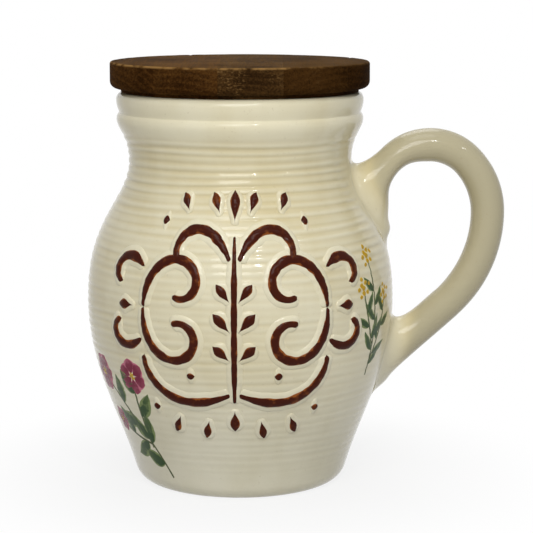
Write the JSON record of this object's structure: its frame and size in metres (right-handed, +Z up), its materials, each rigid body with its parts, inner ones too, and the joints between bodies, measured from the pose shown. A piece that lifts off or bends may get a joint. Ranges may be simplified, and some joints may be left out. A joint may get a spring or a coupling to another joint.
{
  "type": "tabletop waste bin",
  "caption": "Glazed ceramic jug used as a tabletop waste bin, with an ear handle and a loose wooden disc lid that lifts off and turns on a soft seal ring.",
  "frame": {"origin": "centre of the foot ring, on the surface that the jug stands on", "axes": "+Z up the jug's axis, +X towards the handle, -Y towards the front"},
  "size_m": [0.2112, 0.155, 0.212],
  "materials": {
    "cream_glaze": "glossy cream glaze over throwing rings",
    "stained_wood": "dark brown stain, satin, worn along the edges",
    "plug_wood": "lighter stain, satin",
    "seal_rubber": "soft translucent grey"
  },
  "bodies": {
    "jug": {"jug_body": "cream_glaze", "jug_handle": "cream_glaze"},
    "seal": {"seal_ring": "seal_rubber"},
    "lid": {"lid_stave_1": "stained_wood", "lid_stave_2": "stained_wood", "lid_stave_3": "stained_wood", "lid_stave_4": "stained_wood", "lid_stave_5": "stained_wood", "lid_plug": "plug_wood"}
  },
  "joints": [
    {"name": "lid_lift", "type": "slide", "parent": "jug", "child": "seal", "axis": [0, 0, 1], "range_m": [0, 0.1]},
    {"name": "lid_turn", "type": "hinge", "parent": "seal", "child": "lid", "pos_m": [0, 0, 0.197], "axis": [0, 0, 1], "continuous": true}
  ]
}
